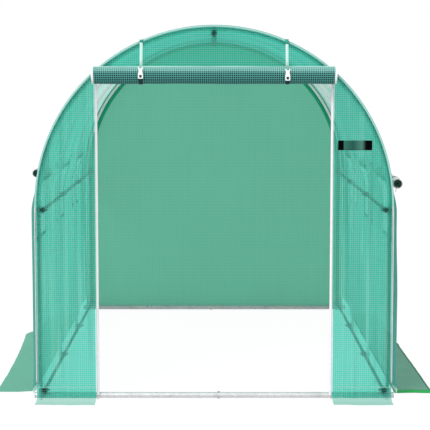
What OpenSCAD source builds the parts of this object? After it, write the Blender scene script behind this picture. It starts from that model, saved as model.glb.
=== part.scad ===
// Polytunnel greenhouse: tube hoops, purlins and base rails under a film cover, with a rolled-up
// front door, rolled window covers and ground skirts. Millimetres, +Z up, the front faces -Y.

/* [Tunnel] */
// Front hoop to rear hoop, centre to centre
tunnel_l = 3000; // [2100:50:4500]
// Across the two legs of a hoop, centre to centre
hoop_w = 1910; // [1500:10:2600]
// Height of the straight legs
leg_h = 1075; // [700:1:1400]

/* [Tubes] */
// Diameter of the hoop tube
hoop_d = 19; // [16:0.5:40]
// Diameter of the ridge, side purlins and side base rails
purlin_d = 19; // [12:0.5:32]
// Side purlins below the top of the legs
purlin_drop = 21; // [10:1:100]
// Diameter of the front and rear base rails
sill_d = 32; // [20:0.5:45]
// Diameter of the two door posts
post_d = 16; // [12:0.5:25]
// Clear height between the cross rails and the hubs above them
rail_gap = 4; // [2:0.5:20]
// Clear height under the front and rear base rails
sill_gap = 6; // [6:0.5:20]
// How far the base rails pass the legs
sill_over = 24; // [5:1:40]

/* [Door] */
// Between the door posts, centre to centre
door_w = 1281; // [800:1:1500]
// Diameter of the rolled door
roll_d = 94; // [50:1:140]
// Door roll axis above the top of the posts
roll_lift = 3; // [0:1:40]
// Between the two door straps, centre to centre
strap_gap = 782; // [300:1:900]
// Width of the door straps
strap_w = 15; // [8:1:30]
// Height of the strap buckles
buckle_h = 62; // [30:1:90]

/* [Cover] */
// Thickness of the film solids
film_t = 3; // [2:0.5:6]
// Height of the roof seam above the legs
seam_up = 131; // [120:1:300]
// Width of the side skirts on the ground
skirt_w = 260; // [100:5:400]
// Distance of each side skirt from the end hoops
skirt_inset = 210; // [100:5:400]
// Width of the front and rear ground flaps
flap_w = 120; // [115:1:250]

/* [Windows] */
// Width of a side window
win_w = 420; // [200:5:600]
// Height of a side window
win_h = 320; // [150:5:500]
// Top of a window below the roof seam
win_drop = 16; // [10:1:100]
// Diameter of a rolled window cover
win_roll_d = 48; // [30:1:70]

/* [Patch] */
// Width of the dark patch on the front
patch_w = 185; // [60:1:240]
// Height of the dark patch
patch_h = 53; // [20:1:100]
// Side edge of the patch beside the panel's edge
patch_in = 20; // [0:1:100]
// Lower edge of the patch above the legs
patch_up = 305; // [0:1:400]

/* [Fastenings] */
// Diameter of the hubs that clasp the long tubes at the hoops
hub_d = 30; // [24:0.5:45]
// Length of a hub along the tube
hub_l = 34; // [28:1:60]
// Diameter of the nut on a hub
nut_d = 15; // [10:0.5:20]
// Height of the nut on a hub
nut_h = 6; // [3:0.5:10]
// Length of bolt past the nut
tip_l = 7; // [2:0.5:15]
// Diameter of a bolt
bolt_d = 6; // [5:0.5:8]
// Diameter of a bolt head
head_d = 13; // [8:0.5:18]
// Height of a bolt head
head_h = 3; // [2:0.5:5]

/* [Hidden] */
$fn = 72;
big_fn = 360;
fit_gap = 0.3;
bay_l = tunnel_l / 3;
hoop_r = hoop_w / 2;
end_y = tunnel_l / 2;
hoop_y = [-end_y, -end_y + bay_l, end_y - bay_l, end_y];
cover_ri = hoop_r + hoop_d / 2 + head_h + 2 * fit_gap;
cover_ro = cover_ri + film_t;
panel_r = cover_ri - fit_gap;
panel_y = end_y + max(hoop_d / 2 + head_h, hub_l / 2) + 2 * fit_gap;
cover_l = 2 * (panel_y + film_t);
seam_z = leg_h + seam_up;
hub_seat = 2;
purlin_r = hoop_r - (hoop_d + hub_d) / 2 + hub_seat;
purlin_l = tunnel_l + hoop_d;
purlin_z = leg_h - purlin_drop;
sill_y = end_y - (hoop_d + sill_d) / 2 - fit_gap;
sill_z = sill_gap + sill_d / 2;
rail_z = sill_gap + sill_d + rail_gap + hub_d / 2;
sill_l = hoop_w + hoop_d + 2 * sill_over;
splice_x = 25;
joint_x = 1;
groove_w = 1.5;
plug_t = 4;
tab_t = 3;
tab_low = 60;
tab_w = post_d - 2;
tab_over = 12;
hex_d = 11;
hex_h = 4;
notch_top = 30;
patch_t = 2;
edge_gap = 1;
roll_over = 15;
win_over = 25;
win_roll_up = 8;
tie_in = 40;
cut_l = 60;
flap_lap = 2;
bar_w = 7;
bar_h = 8;
slot_h = 14;
buckle_up = 8;
post_x = door_w / 2;
post_y = sill_y + (sill_d + post_d) / 2 + fit_gap;
post_rise = sqrt(hoop_r * hoop_r - post_x * post_x);
post_top = leg_h + sqrt(pow(hoop_r - hoop_d / 2 - fit_gap, 2) - pow(post_x + post_d / 2, 2));
tab_y = end_y - hoop_d / 2 - fit_gap;
edge_x = post_x + post_d / 2 + edge_gap;
strap_t = 2.5;
strap_x = strap_gap / 2;
roll_z = leg_h + post_rise + roll_lift;
roll_y = panel_y + film_t + strap_t + fit_gap + roll_d / 2;
roll_l = door_w + 2 * roll_over;
strap_top = leg_h + sqrt(pow(panel_r, 2) - pow(strap_x + strap_w / 2, 2));
buckle_w = 33;
buckle_t = 6;
win_top = seam_z - win_drop;
tie_t = 2;
tie_w = 14;
win_roll_l = win_w + 2 * win_over;
win_axis_r = cover_ro + tie_t + 2 * fit_gap + win_roll_d / 2;
win_axis_a = asin((seam_up + win_roll_up) / win_axis_r);
patch_z = leg_h + patch_up;

// Names of the parts in this file

// Tubes along X and Y, centred
module tube_x(l, d) {
    rotate([0, 90, 0]) cylinder(h = l, d = d, center = true);
}

module tube_y(l, d) {
    rotate([90, 0, 0]) cylinder(h = l, d = d, center = true);
}

// Both sides of the tunnel
module both_sides() {
    children();
    mirror([1, 0, 0]) children();
}

// The legs and the arch of one hoop
module legs(y) {
    both_sides() translate([hoop_r, y, 0]) cylinder(h = leg_h, d = hoop_d);
}

module bow(y) {
    both_sides() translate([0, y, leg_h]) rotate([90, 0, 0])
        rotate_extrude(angle = 90, $fn = big_fn) translate([hoop_r, 0]) circle(d = hoop_d, $fn = 72);
}

module front_hoop_legs() {
    color([0.72, 0.76, 0.76]) legs(hoop_y[0]);
}

module front_hoop_arch() {
    color([0.72, 0.76, 0.76]) bow(hoop_y[0]);
}

module second_hoop_legs() {
    color([0.72, 0.76, 0.76]) legs(hoop_y[1]);
}

module second_hoop_arch() {
    color([0.72, 0.76, 0.76]) bow(hoop_y[1]);
}

module third_hoop_legs() {
    color([0.72, 0.76, 0.76]) legs(hoop_y[2]);
}

module third_hoop_arch() {
    color([0.72, 0.76, 0.76]) bow(hoop_y[2]);
}

module rear_hoop_legs() {
    color([0.72, 0.76, 0.76]) legs(hoop_y[3]);
}

module rear_hoop_arch() {
    color([0.72, 0.76, 0.76]) bow(hoop_y[3]);
}

// Long tubes bolted inside the hoops
module ridge_purlin() {
    color([0.70, 0.74, 0.74]) translate([0, 0, leg_h + purlin_r]) tube_y(purlin_l, purlin_d);
}

module left_purlin() {
    color([0.70, 0.74, 0.74]) translate([-purlin_r, 0, purlin_z]) tube_y(purlin_l, purlin_d);
}

module right_purlin() {
    color([0.70, 0.74, 0.74]) translate([purlin_r, 0, purlin_z]) tube_y(purlin_l, purlin_d);
}

module left_base_rail() {
    color([0.70, 0.74, 0.74]) translate([-purlin_r, 0, rail_z]) tube_y(purlin_l, purlin_d);
}

module right_base_rail() {
    color([0.70, 0.74, 0.74]) translate([purlin_r, 0, rail_z]) tube_y(purlin_l, purlin_d);
}

// Cross rails behind the legs, with a joint line where two lengths meet
module cross_rail(x) {
    difference() {
        tube_x(sill_l, sill_d);
        translate([x, 0, 0]) difference() {
            tube_x(groove_w, sill_d + groove_w);
            tube_x(2 * groove_w, sill_d - groove_w);
        }
    }
}

module front_base_rail() {
    color([0.76, 0.77, 0.78]) translate([0, -sill_y, sill_z]) cross_rail(joint_x);
}

module rear_base_rail() {
    color([0.76, 0.77, 0.78]) translate([0, sill_y, sill_z]) cross_rail(-joint_x);
}

module base_rail_plugs() {
    color([0.45, 0.48, 0.48])
        for (y = [-sill_y, sill_y])
            both_sides() translate([(sill_l + plug_t) / 2, y, sill_z]) tube_x(plug_t, sill_d + 1);
}

// Door posts stand in front of the base rail, with a flat tab behind the hoop at the top
module door_posts() {
    color([0.93, 0.92, 0.93])
        both_sides() {
            translate([post_x, -post_y, sill_gap]) cylinder(h = post_top - sill_gap, d = post_d);
            translate([post_x - tab_w / 2, -post_y, post_top - tab_low])
                cube([tab_w, post_y - tab_y + tab_t, tab_low - hoop_d / 2]);
            translate([post_x - tab_w / 2, -tab_y, post_top - tab_low])
                cube([tab_w, tab_t, leg_h + post_rise + tab_over - post_top + tab_low]);
        }
}

// A bolt head on a tube, standing along +Z from the tube's axis
module head(d) {
    translate([0, 0, d / 2 + fit_gap]) cylinder(h = head_h, d = head_d);
}

// A hub round a long tube, with its nut and bolt end along +Z; the hoop lies across below it
module hub() {
    difference() {
        union() {
            tube_y(hub_l, hub_d);
            cylinder(h = hub_d / 2 + nut_h, d = nut_d);
            cylinder(h = hub_d / 2 + nut_h + tip_l, d = bolt_d);
        }
        translate([0, 0, purlin_r - hoop_r]) tube_x(2 * hub_d, hoop_d + 2 * fit_gap);
    }
}

// Room for a long tube inside its hubs
module tube_room() {
    tube_y(purlin_l + 2 * fit_gap, purlin_d + 2 * fit_gap);
}

module purlin_bolts() {
    color([0.55, 0.58, 0.55])
        for (y = hoop_y) {
            translate([0, y, leg_h + hoop_r]) head(hoop_d);
            both_sides() translate([hoop_r, y, purlin_z]) rotate([0, 90, 0]) head(hoop_d);
        }
}

module base_rail_bolts() {
    color([0.55, 0.58, 0.55])
        for (y = hoop_y)
            both_sides() translate([hoop_r, y, rail_z]) rotate([0, 90, 0]) head(hoop_d);
}

// Bolts that hold the legs and posts to the base rails
module corner_bolts() {
    color([0.60, 0.62, 0.62]) {
        both_sides() {
            translate([hoop_r, -end_y, sill_z]) rotate([90, 0, 0]) head(hoop_d);
            translate([hoop_r, end_y, sill_z]) rotate([-90, 0, 0]) head(hoop_d);
            translate([post_x, -post_y, sill_z]) rotate([90, 0, 0]) head(post_d);
            for (x = [hoop_r, post_x])
                translate([x, -sill_y, sill_z]) rotate([-90, 0, 0])
                    translate([0, 0, sill_d / 2 + fit_gap]) cylinder(h = hex_h, d = hex_d, $fn = 6);
            translate([hoop_r, sill_y, sill_z]) rotate([90, 0, 0])
                translate([0, 0, sill_d / 2 + fit_gap]) cylinder(h = hex_h, d = hex_d, $fn = 6);
        }
    }
}

module splice_bolts() {
    color([0.60, 0.62, 0.62])
        for (s = [-1, 1])
            translate([-s * splice_x, s * sill_y, sill_z]) {
                head(sill_d);
                translate([0, 0, -sill_d / 2 - fit_gap - hex_h]) cylinder(h = hex_h, d = hex_d, $fn = 6);
            }
}

module purlin_hubs() {
    color([0.07, 0.16, 0.16]) {
        translate([0, 0, leg_h + purlin_r]) difference() {
            for (y = hoop_y) translate([0, y, 0]) rotate([180, 0, 0]) hub();
            tube_room();
        }
        both_sides() translate([purlin_r, 0, purlin_z]) difference() {
            for (y = hoop_y) translate([0, y, 0]) rotate([0, -90, 0]) hub();
            tube_room();
        }
    }
}

module base_rail_hubs() {
    color([0.07, 0.16, 0.16])
        both_sides() translate([purlin_r, 0, rail_z]) difference() {
            for (y = hoop_y) translate([0, y, 0]) rotate([0, -90, 0]) hub();
            tube_room();
        }
}

// Outline of the tunnel in the XZ plane, drawn in 2D
module arch(r) {
    translate([0, leg_h]) circle(r = r, $fn = big_fn);
    translate([-r, 0]) square([2 * r, leg_h]);
}

// The film between two heights on the right side
module film(z0, z1) {
    rotate([90, 0, 0]) linear_extrude(height = cover_l, center = true)
        intersection() {
            difference() {
                arch(cover_ro);
                arch(cover_ri);
            }
            translate([0, z0]) square([2 * cover_ro, z1 - z0]);
        }
}

// Block that cuts the windows, or the screens when it is smaller
module window_blocks(gap) {
    for (y = [-bay_l, 0, bay_l])
        translate([cover_ri - cut_l, y - win_w / 2 + gap, win_top - win_h + gap])
            cube([2 * cut_l, win_w - 2 * gap, win_h - 2 * gap]);
}

// The side wall stops short of the ground beside the end hoops, where the rail ends pass it
module wall() {
    difference() {
        film(film_t, seam_z);
        window_blocks(0);
        for (s = [-1, 1])
            translate([cover_ri - cut_l, s * end_y - skirt_inset, 0])
                cube([2 * cut_l, 2 * skirt_inset, rail_z + notch_top]);
    }
}

module left_wall_cover() {
    color([0.40, 0.76, 0.68]) mirror([1, 0, 0]) wall();
}

module right_wall_cover() {
    color([0.40, 0.76, 0.68]) wall();
}

module left_roof_cover() {
    color([0.36, 0.74, 0.64]) mirror([1, 0, 0]) film(seam_z, leg_h + cover_ro + 1);
}

module right_roof_cover() {
    color([0.36, 0.74, 0.64]) film(seam_z, leg_h + cover_ro + 1);
}

// A flat end sheet cut to a block of the tunnel outline
module end_sheet(x0, x1, z0) {
    rotate([90, 0, 0]) linear_extrude(height = film_t)
        intersection() {
            arch(panel_r);
            translate([x0, z0]) square([x1 - x0, leg_h + cover_ro]);
        }
}

module front_left_panel() {
    color([0.40, 0.76, 0.68]) translate([0, -panel_y, 0]) end_sheet(-cover_ro, -edge_x, film_t);
}

module front_right_panel() {
    color([0.40, 0.76, 0.68]) translate([0, -panel_y, 0]) end_sheet(edge_x, cover_ro, film_t);
}

module front_top_panel() {
    color([0.32, 0.70, 0.60]) translate([0, -panel_y, 0]) end_sheet(-edge_x, edge_x, roll_z);
}

module rear_panel() {
    color([0.38, 0.68, 0.58])
        translate([0, panel_y + film_t, 0]) end_sheet(-cover_ro, cover_ro, film_t);
}

// Film that lies out on the ground
module skirt() {
    translate([cover_ri, -end_y + skirt_inset, 0])
        cube([film_t + skirt_w, tunnel_l - 2 * skirt_inset, film_t]);
}

module left_skirt() {
    color([0.45, 0.70, 0.60]) mirror([1, 0, 0]) skirt();
}

module right_skirt() {
    color([0.45, 0.70, 0.60]) skirt();
}

module front_flaps() {
    color([0.64, 0.86, 0.80])
        both_sides() translate([edge_x, -panel_y + flap_lap - flap_w, 0])
            cube([panel_r - edge_x, flap_w, film_t]);
}

module rear_flap() {
    color([0.64, 0.86, 0.80])
        translate([-panel_r, panel_y - flap_lap, 0]) cube([2 * panel_r, flap_w, film_t]);
}

// The rolled door and what holds it up
module door_roll() {
    color([0.30, 0.50, 0.48]) translate([0, -roll_y, roll_z]) tube_x(roll_l, roll_d);
}

module door_straps() {
    color([0.75, 0.88, 0.84])
        both_sides() {
            translate([strap_x - strap_w / 2, -panel_y - film_t - strap_t, roll_z])
                cube([strap_w, strap_t, strap_top - roll_z]);
            translate([strap_x, -roll_y, roll_z]) difference() {
                tube_x(strap_w, roll_d + 2 * fit_gap + 2 * strap_t);
                tube_x(strap_w + 2, roll_d + 2 * fit_gap);
            }
        }
}

module strap_buckles() {
    color([0.93, 0.95, 0.94])
        both_sides()
            translate([strap_x, -roll_y - roll_d / 2 - 2 * fit_gap - strap_t - buckle_t, roll_z + buckle_up])
                difference() {
                    translate([-buckle_w / 2, 0, -buckle_h / 2]) cube([buckle_w, buckle_t, buckle_h]);
                    for (z = [bar_h - buckle_h / 2, buckle_h / 2 - bar_h - slot_h])
                        translate([bar_w - buckle_w / 2, -1, z])
                            cube([buckle_w - 2 * bar_w, buckle_t + 2, slot_h]);
                }
}

// Net in the window openings, and the covers rolled up above them
module screens() {
    intersection() {
        film(film_t, seam_z);
        window_blocks(fit_gap);
    }
}

module left_window_screens() {
    color([0.80, 0.90, 0.86]) mirror([1, 0, 0]) screens();
}

module right_window_screens() {
    color([0.80, 0.90, 0.86]) screens();
}

module at_window_axis() {
    translate([win_axis_r * cos(win_axis_a), 0, leg_h + win_axis_r * sin(win_axis_a)])
        for (y = [-bay_l, 0, bay_l]) translate([0, y, 0]) children();
}

module left_window_rolls() {
    color([0.80, 0.88, 0.86]) mirror([1, 0, 0]) at_window_axis() tube_y(win_roll_l, win_roll_d);
}

module right_window_rolls() {
    color([0.80, 0.88, 0.86]) at_window_axis() tube_y(win_roll_l, win_roll_d);
}

module window_ties() {
    color([0.20, 0.42, 0.36])
        both_sides() at_window_axis()
            for (y = [tie_in - win_w / 2, win_w / 2 - tie_in])
                translate([0, y, 0]) difference() {
                    tube_y(tie_w, win_roll_d + 2 * fit_gap + 2 * tie_t);
                    tube_y(tie_w + 2, win_roll_d + 2 * fit_gap);
                }
}

// Plain dark patch on the right front panel
module front_patch() {
    color([0.06, 0.08, 0.08])
        translate([edge_x + patch_in, -panel_y - film_t - patch_t, patch_z])
            cube([patch_w, patch_t, patch_h]);
}

front_hoop_legs();
front_hoop_arch();
second_hoop_legs();
second_hoop_arch();
third_hoop_legs();
third_hoop_arch();
rear_hoop_legs();
rear_hoop_arch();
ridge_purlin();
left_purlin();
right_purlin();
left_base_rail();
right_base_rail();
front_base_rail();
rear_base_rail();
base_rail_plugs();
door_posts();
purlin_bolts();
base_rail_bolts();
corner_bolts();
splice_bolts();
purlin_hubs();
base_rail_hubs();
left_wall_cover();
right_wall_cover();
left_roof_cover();
right_roof_cover();
front_left_panel();
front_right_panel();
front_top_panel();
rear_panel();
left_skirt();
right_skirt();
front_flaps();
rear_flap();
door_roll();
door_straps();
strap_buckles();
left_window_screens();
right_window_screens();
left_window_rolls();
right_window_rolls();
window_ties();
front_patch();
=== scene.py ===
import math

import bmesh
import bpy
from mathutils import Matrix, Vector, noise


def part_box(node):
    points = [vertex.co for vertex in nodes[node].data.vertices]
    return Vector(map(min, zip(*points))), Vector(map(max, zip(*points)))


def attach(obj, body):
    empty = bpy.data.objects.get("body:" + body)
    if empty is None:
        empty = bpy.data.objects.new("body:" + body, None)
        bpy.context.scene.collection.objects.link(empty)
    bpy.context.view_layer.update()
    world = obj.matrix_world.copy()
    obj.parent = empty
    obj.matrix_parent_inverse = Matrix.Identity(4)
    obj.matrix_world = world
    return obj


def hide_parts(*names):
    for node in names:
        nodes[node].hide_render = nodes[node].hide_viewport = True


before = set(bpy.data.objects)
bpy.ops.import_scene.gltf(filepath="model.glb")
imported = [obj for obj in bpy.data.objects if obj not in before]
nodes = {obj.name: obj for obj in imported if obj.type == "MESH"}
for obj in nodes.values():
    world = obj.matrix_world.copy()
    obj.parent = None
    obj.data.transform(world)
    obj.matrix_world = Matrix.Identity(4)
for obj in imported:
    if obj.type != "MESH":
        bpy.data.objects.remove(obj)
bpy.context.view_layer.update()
scene = bpy.context.scene
print("frame loaded:", len(nodes), "nodes")

forward, upward, across = Vector((0, -1, 0)), Vector((0, 0, 1)), Vector((1, 0, 0))


# places taken from the frame, in metres
def middle(node):
    low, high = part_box(node)
    return (low + high) / 2


legLow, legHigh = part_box("front_hoop_legs")
tubeR = (legHigh.y - legLow.y) / 2
hoopR = legHigh.x - tubeR
springZ = legHigh.z                       # where the straight legs end and the arch starts
hoopNames = ("front", "second", "third", "rear")
hoopYs = [middle(hoop + "_hoop_legs").y for hoop in hoopNames]
bayL = hoopYs[1] - hoopYs[0]
bayMids = [(a + b) / 2 for a, b in zip(hoopYs, hoopYs[1:])]
filmT = 0.003                             # thickness of the frame's film solids
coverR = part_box("right_wall_cover")[1].x - filmT / 2
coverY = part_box("right_wall_cover")[1].y
frontY = middle("front_left_panel").y
rearY = middle("rear_panel").y
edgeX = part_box("front_right_panel")[0].x  # door side of the front panels
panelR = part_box("rear_panel")[1].x
rollLow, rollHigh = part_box("door_roll")
rollAxis = (rollLow + rollHigh) / 2
rollR = (rollHigh.z - rollLow.z) / 2
skirtLow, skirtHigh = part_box("right_skirt")
winLow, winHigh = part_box("right_window_screens")
winL = winHigh.y - bayL
winBottom, winTop = winLow.z, winHigh.z
patchLow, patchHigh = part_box("front_patch")
buckleLow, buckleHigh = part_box("strap_buckles")


# shader wiring: a Wire is a socket that takes part in plain arithmetic
class Wire:
    def __init__(self, finish, socket):
        self.finish = finish
        self.socket = socket

    def math(self, operation, first, second):
        return self.finish.node("Math", {"operation": operation}, {0: first, 1: second})

    def __add__(self, other):
        return self.math("ADD", self, other)

    def __sub__(self, other):
        return self.math("SUBTRACT", self, other)

    def __rsub__(self, other):
        return self.math("SUBTRACT", other, self)

    def __mul__(self, other):
        return self.math("MULTIPLY", self, other)

    def __truediv__(self, other):
        return self.math("DIVIDE", self, other)

    def __pow__(self, other):
        return self.math("POWER", self, other)

    __radd__ = __add__
    __rmul__ = __mul__

    def most(self, other):
        return self.math("MAXIMUM", self, other)

    def least(self, other):
        return self.math("MINIMUM", self, other)


class Finish:
    def __init__(self, name, tree=None):
        self.material = None
        if tree is None:
            self.material = bpy.data.materials.new(name)
            self.material.use_nodes = True
            tree = self.material.node_tree
        self.tree = tree
        tree.nodes.clear()

    def node(self, kind, settings=None, sockets=None, out=0):
        made = self.tree.nodes.new("ShaderNode" + kind)
        for key, value in (settings or {}).items():
            if key == "stops":
                ramp = made.color_ramp
                while len(ramp.elements) < len(value):
                    ramp.elements.new(1)
                for stop, (place, colour) in zip(ramp.elements, value):
                    stop.position = place
                    stop.color = (*colour, 1)
            else:
                setattr(made, key, value)
        for key, value in (sockets or {}).items():
            if isinstance(value, Wire):
                self.tree.links.new(value.socket, made.inputs[key])
            elif made.inputs[key].type == "RGBA":
                made.inputs[key].default_value = (*value, 1)      # colours are written without their alpha
            else:
                made.inputs[key].default_value = value
        return Wire(self, made.outputs[out]) if made.outputs else None

    def mixed(self, factor, first, second):
        return self.node("Mix", {"data_type": "RGBA"}, {0: factor, 6: first, 7: second}, out=2)

    def blended(self, factor, first, second):
        return self.node("MixShader", None, {0: factor, 1: first, 2: second})

    def cloth(self):
        uv = self.node("UVMap", {"uv_map": "cloth"})
        return [self.node("SeparateXYZ", None, {0: uv}, out=i) for i in (0, 1)]

    def place(self):
        return self.node("TexCoord", None, None, out=3)

    def height(self):
        return self.node("SeparateXYZ", None, {0: self.place()}, out=2)

    def grain(self, scale, detail=3, stretch=None):
        where = self.place()
        if stretch is not None:
            where = self.node("Mapping", None, {0: where, 3: stretch})
        return self.node("TexNoise", None, {"Vector": where, "Scale": scale, "Detail": detail})

    def ramped(self, value, low, high, start=0.0, end=1.0):
        return self.node("MapRange", {"interpolation_type": "SMOOTHSTEP"},
                         {0: value, 1: low, 2: high, 3: start, 4: end})

    def bump(self, height, strength, distance):
        return self.node("Bump", None, {"Height": height, "Strength": strength, "Distance": distance})

    def shell(self, sockets):
        return self.node("BsdfPrincipled", None, sockets)

    def done(self, shader):
        self.node("OutputMaterial", None, {0: shader})
        return self.material


threadSoft = 0.06                         # softness of a thread's edge, as a share of the pitch
grainRange = (0.2, 0.8)                   # a noise's values lie mostly within these


def threadMask(finish, along, pattern):
    # 1 on the threads that lie every pitch, 0 in the cells between them
    share = along / pattern["pitch"]
    saw = share.math("PINGPONG", share, 0.5)
    half = pattern["thread"] / pattern["pitch"] / 2
    return finish.ramped(saw, half + threadSoft, half - threadSoft)


def gridMask(finish, pattern):
    u, v = finish.cloth()
    return threadMask(finish, u, pattern).most(threadMask(finish, v, pattern))


def shaded(colour, share):
    return tuple(c * share for c in colour)


weave = {"pitch": 0.0114, "thread": 0.0016}
frontLook = {
    "cell": (0.03, 0.56, 0.43), "glow": (0.02, 0.84, 0.67), "tint": (0.085, 0.76, 0.62),
    "cover": 0.45, "through": 0.94, "thread": (0.44, 0.44, 0.44), "threadGlow": (0.68, 0.67, 0.66),
    "threadTint": (0.72, 0.71, 0.69), "threadCover": 0.70, "threadThrough": 0.86,
    "gloss": 0.22, "sheen": 0.006, "grazing": 0.50, "paintedStreaks": 0.0,
}
# pale and dull are the colours of painted highlight streaks and painted shade along the creases
coverLook = dict(frontLook, cell=(0.09, 0.50, 0.385), glow=(0.55, 0.80, 0.73),
                 tint=(0.50, 0.84, 0.76), cover=0.72, through=0.62, thread=(0.40, 0.62, 0.55),
                 threadGlow=(0.70, 0.88, 0.83), threadTint=(0.74, 0.92, 0.87), threadCover=0.78,
                 threadThrough=0.62, grazing=0.15, paintedStreaks=0.42, crease=(1.1, 6.5),
                 pale=(0.86, 0.95, 0.93), dull=(0.30, 0.52, 0.46))
panelLook = dict(frontLook, paintedStreaks=0.28, crease=(38.0, 1.0), pale=(0.52, 0.92, 0.82),
                 dull=(0.16, 0.42, 0.34))
# the film over the door: darker threads and a greener tint than the front panels, as painted shade
paintedShadeTopLook = dict(frontLook, tint=(0.045, 0.78, 0.64), thread=(0.36, 0.46, 0.43),
               threadTint=(0.60, 0.74, 0.69))
rearLook = dict(frontLook, cell=(0.105, 0.48, 0.32), glow=(0.105, 0.48, 0.32),
                tint=(0.115, 0.69, 0.55), cover=0.90, through=0.5, thread=(0.27, 0.43, 0.36),
                threadGlow=(0.27, 0.43, 0.36), threadCover=0.94, threadThrough=0.5)
hemLook = dict(frontLook, cell=(0.11, 0.42, 0.38), glow=(0.11, 0.44, 0.40),
               tint=(0.15, 0.55, 0.51), cover=0.85, through=0.5, thread=(0.16, 0.48, 0.44),
               threadGlow=(0.16, 0.48, 0.44), threadCover=0.92, threadThrough=0.5, grazing=0.10)
skirtLook = dict(frontLook, cell=(0.115, 0.335, 0.24), cover=0.95, through=0.1,
                 thread=(0.130, 0.35, 0.255), threadCover=0.97, threadThrough=0.1, grazing=0.12)
# the right skirt's copy, greyer and darker: painted shade from the tunnel
paintedShadeSkirtLook = dict(skirtLook, cell=(0.108, 0.225, 0.157), thread=(0.118, 0.235, 0.167))
flapLook = dict(frontLook, cell=(0.36, 0.62, 0.54), glow=(0.36, 0.62, 0.54),
                tint=(0.5, 0.78, 0.70), cover=0.7, through=0.4, thread=(0.40, 0.65, 0.57),
                threadGlow=(0.40, 0.65, 0.57), threadCover=0.78, threadThrough=0.4, grazing=0.3)
# a darker copy for the right flap: painted shade
paintedShadeFlapLook = dict(flapLook, cell=(0.30, 0.57, 0.495), glow=(0.30, 0.57, 0.495),
                    thread=(0.33, 0.60, 0.52), threadGlow=(0.33, 0.60, 0.52))
filmSkin = {
    "mottle": (1.7, 4), "mottleRange": (0.3, 0.7), "mottlePaler": 1.12, "raised": (0.35, 0.0006),
    "roughGrain": 24, "rough": (0.45, 0.6), "creaseDetail": 3,
    "paintedGlintAndShade": {"pale": (0.53, 0.66), "dull": (0.47, 0.33)}, "grazingPower": 5,
}


def filmFinish(name, look):
    # translucent film with reinforcing threads: part clear, part glowing through, shiny when seen along it
    f = Finish(name)
    threads = gridMask(f, weave)
    mottle = f.ramped(f.grain(*filmSkin["mottle"]), *filmSkin["mottleRange"])
    colour = f.mixed(mottle, look["cell"], shaded(look["cell"], filmSkin["mottlePaler"]))
    normal = f.bump(threads, *filmSkin["raised"])
    rough = f.ramped(f.grain(filmSkin["roughGrain"]), *grainRange, *filmSkin["rough"])
    matt = {"Roughness": rough, "Normal": normal, "Specular IOR Level": 0.0}
    skin = f.shell({"Base Color": colour, **matt})
    yarn = f.shell({"Base Color": look["thread"], **matt})
    glow = f.node("BsdfTranslucent", None, {"Color": look["glow"]})
    clear = f.node("BsdfTransparent", None, {"Color": look["tint"]})
    cells = f.blended(look["cover"], clear, f.blended(look["through"], skin, glow))
    soft = f.node("BsdfTranslucent", None, {"Color": look["threadGlow"]})
    thin = f.node("BsdfTransparent", None, {"Color": look["threadTint"]})
    strands = f.blended(look["threadCover"], thin, f.blended(look["threadThrough"], yarn, soft))
    film = f.blended(threads, cells, strands)
    # stretched noise streaks: the pale ones are painted highlights and the dull ones are painted shade in
    # the creases
    if look["paintedStreaks"]:
        u, v = f.cloth()
        drawn = f.node("CombineXYZ", None, {0: u * look["crease"][0], 1: v * look["crease"][1]})
        crease = f.node("TexNoise", None,
                        {"Vector": drawn, "Scale": 1.0, "Detail": filmSkin["creaseDetail"]})
        for key, span in filmSkin["paintedGlintAndShade"].items():
            paintedLight = f.node("BsdfTranslucent", None, {"Color": look[key]})
            film = f.blended(f.ramped(crease, *span, 0.0, look["paintedStreaks"]), film, paintedLight)
    shine = f.node("BsdfAnisotropic", None,
                   {"Color": (1, 1, 1), "Roughness": look["gloss"], "Normal": normal})
    facing = f.node("LayerWeight", None, {"Blend": 0.5}, out=1)
    grazing = facing ** filmSkin["grazingPower"] * look["grazing"] + look["sheen"]
    return f.done(f.blended(grazing, film, shine))


# the low cells and threads are dark partly from the many layers of film and partly as painted shade; the
# lit colours higher up are painted light, the highlight cell is a painted highlight, and core is painted
# shade between the inner turns
rolledLook = {
    "cell": (0.0005, 0.010, 0.010), "thread": (0.085, 0.32, 0.29), "paintedLitCell": (0.030, 0.19, 0.165),
    "paintedLitThread": (0.27, 0.52, 0.475), "paintedHighlightCell": (0.48, 0.74, 0.68),
    "core": (0.004, 0.020, 0.018), "rough": 0.55, "coat": 0.0, "outerTurn": 0.29, "wide": 0.0036,
    "paintedLightSpan": [rollAxis.z + share * rollR for share in (0.16, 0.62)],
    "paintedHighlightSpan": [rollAxis.z + share * rollR for share in (0.84, 0.95)],
}
# the window covers: paler above the window top as painted light, a pale crown as painted highlight, and
# core as painted shade
rolledCoverLook = {
    "cell": (0.56, 0.63, 0.61), "thread": (0.72, 0.77, 0.75), "paintedLitCell": (0.60, 0.66, 0.64),
    "paintedLitThread": (0.74, 0.79, 0.77), "paintedHighlightCell": (0.74, 0.79, 0.77),
    "core": (0.010, 0.045, 0.036), "rough": 0.5, "coat": 0.1, "outerTurn": 0.16, "wide": 0.0026,
    "paintedLightSpan": (winTop, winTop + 0.05), "paintedHighlightSpan": (winTop + 0.06, winTop + 0.10),
}
rolledSkin = {
    "cloud": (6, 3, (0.4, 3.0, 3.0)), "paintedLightCloud": 0.02, "paintedHighlightCloud": 0.004, "coreEdge": 1.08,
    "rough": (-0.06, 0.10), "raised": (0.4, 0.0006), "coatRough": 0.25, "gloss": 0.10,
}


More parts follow.
